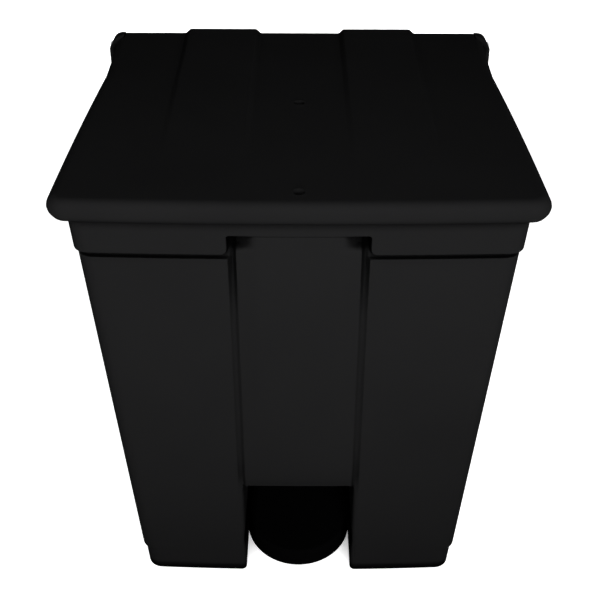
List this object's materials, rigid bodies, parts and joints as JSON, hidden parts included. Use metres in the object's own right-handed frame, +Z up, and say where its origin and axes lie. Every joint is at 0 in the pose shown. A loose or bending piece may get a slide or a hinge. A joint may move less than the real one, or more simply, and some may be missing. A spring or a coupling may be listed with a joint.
{
  "type": "pedal trash can",
  "caption": "Square tapered step-on bin with a rear-hinged lid, raised lid ribs and a foot pedal in a floor tunnel that lifts the lid through rear push rods.",
  "frame": {"origin": "on the floor, at the centre of the closed part's bounding box in plan", "axes": "+Z up, -Y towards the pedal and the user, +X to the user's right, so the hinge line is parallel to X at the rear"},
  "size_m": [0.4, 0.41, 0.435],
  "materials": {
    "tub_plastic": "satin black moulded plastic",
    "mechanism_plastic": "matte black moulded plastic",
    "steel": "plain zinc-plated steel"
  },
  "bodies": {
    "bin": {"body_shell": "tub_plastic", "hinge_pin_left": "steel", "hinge_pin_right": "steel", "hinge_pin_clip_left": "steel", "hinge_pin_clip_right": "steel", "rod_guide_left": "mechanism_plastic", "rod_guide_right": "mechanism_plastic", "rod_guide_screws": "steel", "axle_cap_left": "mechanism_plastic", "axle_cap_right": "mechanism_plastic", "axle_cap_screws": "steel"},
    "lid": {"lid": "tub_plastic", "lid_link_left": "steel", "lid_link_right": "steel", "lid_link_screws": "steel"},
    "pedal": {"pedal_lever": "mechanism_plastic", "pedal_tread": "mechanism_plastic", "pedal_tread_screws": "steel", "pedal_axle": "steel", "axle_clip_left": "steel", "axle_clip_right": "steel"},
    "rod_left": {"push_rod_left": "steel", "rod_foot_clip_left": "steel", "rod_top_clip_left": "steel"},
    "rod_right": {"push_rod_right": "steel", "rod_foot_clip_right": "steel", "rod_top_clip_right": "steel"}
  },
  "joints": [
    {"name": "lid_hinge", "type": "hinge", "parent": "bin", "child": "lid", "pos_m": [0, 0.1868, 0.4168], "axis": [-1, 0, 0], "range_deg": [0, 80]},
    {"name": "pedal_pivot", "type": "hinge", "parent": "bin", "child": "pedal", "pos_m": [0, 0.02, 0.03], "axis": [1, 0, 0], "range_deg": [0, 7.78]},
    {"name": "rod_foot_left", "type": "hinge", "parent": "pedal", "child": "rod_left", "pos_m": [-0.0735, 0.1743, 0.01951], "axis": [-1, 0, 0], "range_deg": [0, 7.78]},
    {"name": "rod_foot_right", "type": "hinge", "parent": "pedal", "child": "rod_right", "pos_m": [0.0735, 0.1743, 0.01951], "axis": [-1, 0, 0], "range_deg": [0, 7.78]}
  ],
  "couplings": [
    {"joint": "pedal_pivot", "follows": "lid_hinge", "ratio": 0.09721},
    {"joint": "rod_foot_left", "follows": "lid_hinge", "ratio": 0.09721},
    {"joint": "rod_foot_right", "follows": "lid_hinge", "ratio": 0.09721}
  ]
}
